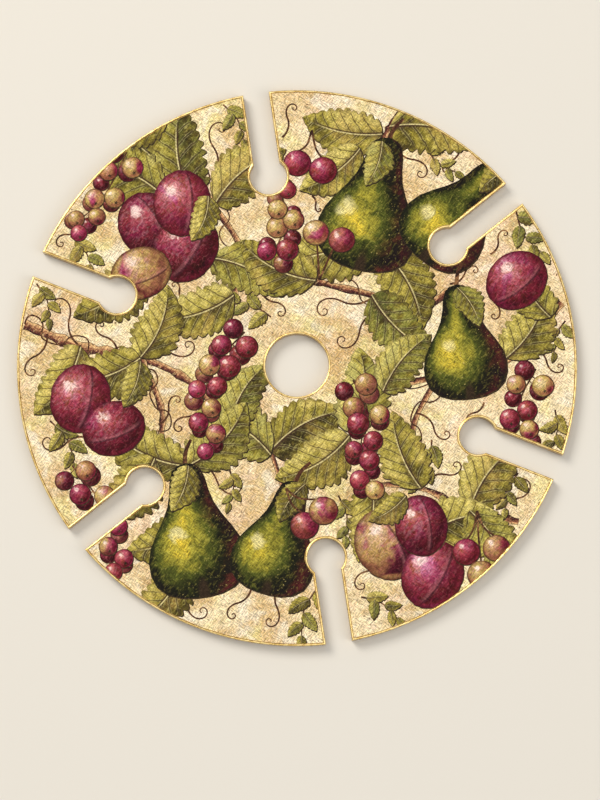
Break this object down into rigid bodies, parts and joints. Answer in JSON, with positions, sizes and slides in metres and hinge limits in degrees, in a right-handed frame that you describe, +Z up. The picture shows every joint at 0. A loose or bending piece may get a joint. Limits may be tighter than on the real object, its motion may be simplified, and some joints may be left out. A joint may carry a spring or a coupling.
{
  "type": "wine bottle coaster",
  "caption": "Flat round board with a hole for a bottle's neck and keyhole slots round its rim that hold stemmed glasses, papered on its face and gilded along every edge.",
  "frame": {"origin": "on the board's underside, on the axis of the bottle hole", "axes": "+Z up out of the printed face, along the bottle hole; +Y from the hole along the first glass slot to the rim"},
  "size_m": [0.3, 0.2996, 0.0066],
  "materials": {
    "fibreboard": "satin",
    "printed_paper": "satin",
    "gilding": "gloss"
  },
  "bodies": {
    "root": {"board": "fibreboard", "front_print": "printed_paper", "bottle_hole_edge": "gilding", "rim_edge_1": "gilding", "rim_edge_2": "gilding", "rim_edge_3": "gilding", "rim_edge_4": "gilding", "rim_edge_5": "gilding", "rim_edge_6": "gilding", "seat_edge_1": "gilding", "seat_edge_2": "gilding", "seat_edge_3": "gilding", "seat_edge_4": "gilding", "seat_edge_5": "gilding", "seat_edge_6": "gilding", "channel_edge_1": "gilding", "channel_edge_2": "gilding", "channel_edge_3": "gilding", "channel_edge_4": "gilding", "channel_edge_5": "gilding", "channel_edge_6": "gilding"}
  },
  "joints": []
}
